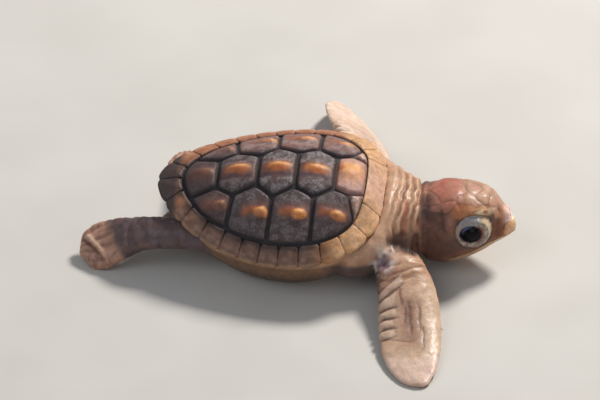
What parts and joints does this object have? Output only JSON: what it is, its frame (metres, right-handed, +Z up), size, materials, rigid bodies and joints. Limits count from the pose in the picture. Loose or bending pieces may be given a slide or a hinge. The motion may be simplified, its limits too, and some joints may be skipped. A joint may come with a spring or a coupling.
{
  "type": "loggerhead turtle hatchling",
  "caption": "Still life-size model of a loggerhead turtle hatchling crawling on its belly, head forward, flippers spread.",
  "frame": {"origin": "on the floor under the middle of the overall box", "axes": "+X towards the head, +Y to the turtle's left, +Z up"},
  "size_m": [0.084, 0.087, 0.0213],
  "materials": {
    "skin": "satin",
    "head_skin": "satin",
    "plate": "satin",
    "marginal": "satin",
    "belly": "satin",
    "horn": "satin",
    "eye": "polished"
  },
  "bodies": {
    "root": {"trunk": "skin", "neck": "skin", "tail": "skin", "front_flipper_left": "skin", "front_flipper_right": "skin", "rear_flipper_left": "skin", "rear_flipper_right": "skin", "head": "head_skin", "lower_jaw": "head_skin", "vertebral_1": "plate", "vertebral_2": "plate", "vertebral_3": "plate", "vertebral_4": "plate", "vertebral_5": "plate", "costal_left_1": "plate", "costal_left_2": "plate", "costal_left_3": "plate", "costal_left_4": "plate", "costal_left_5": "plate", "costal_right_1": "plate", "costal_right_2": "plate", "costal_right_3": "plate", "costal_right_4": "plate", "costal_right_5": "plate", "nuchal": "marginal", "marginal_left_1": "marginal", "marginal_left_2": "marginal", "marginal_left_3": "marginal", "marginal_left_4": "marginal", "marginal_left_5": "marginal", "marginal_left_6": "marginal", "marginal_left_7": "marginal", "marginal_left_8": "marginal", "marginal_left_9": "marginal", "marginal_left_10": "marginal", "marginal_left_11": "marginal", "marginal_left_12": "marginal", "marginal_right_1": "marginal", "marginal_right_2": "marginal", "marginal_right_3": "marginal", "marginal_right_4": "marginal", "marginal_right_5": "marginal", "marginal_right_6": "marginal", "marginal_right_7": "marginal", "marginal_right_8": "marginal", "marginal_right_9": "marginal", "marginal_right_10": "marginal", "marginal_right_11": "marginal", "marginal_right_12": "marginal", "plastron": "belly", "beak_upper": "horn", "beak_lower": "horn", "eye_left": "eye", "eye_right": "eye"}
  },
  "joints": []
}
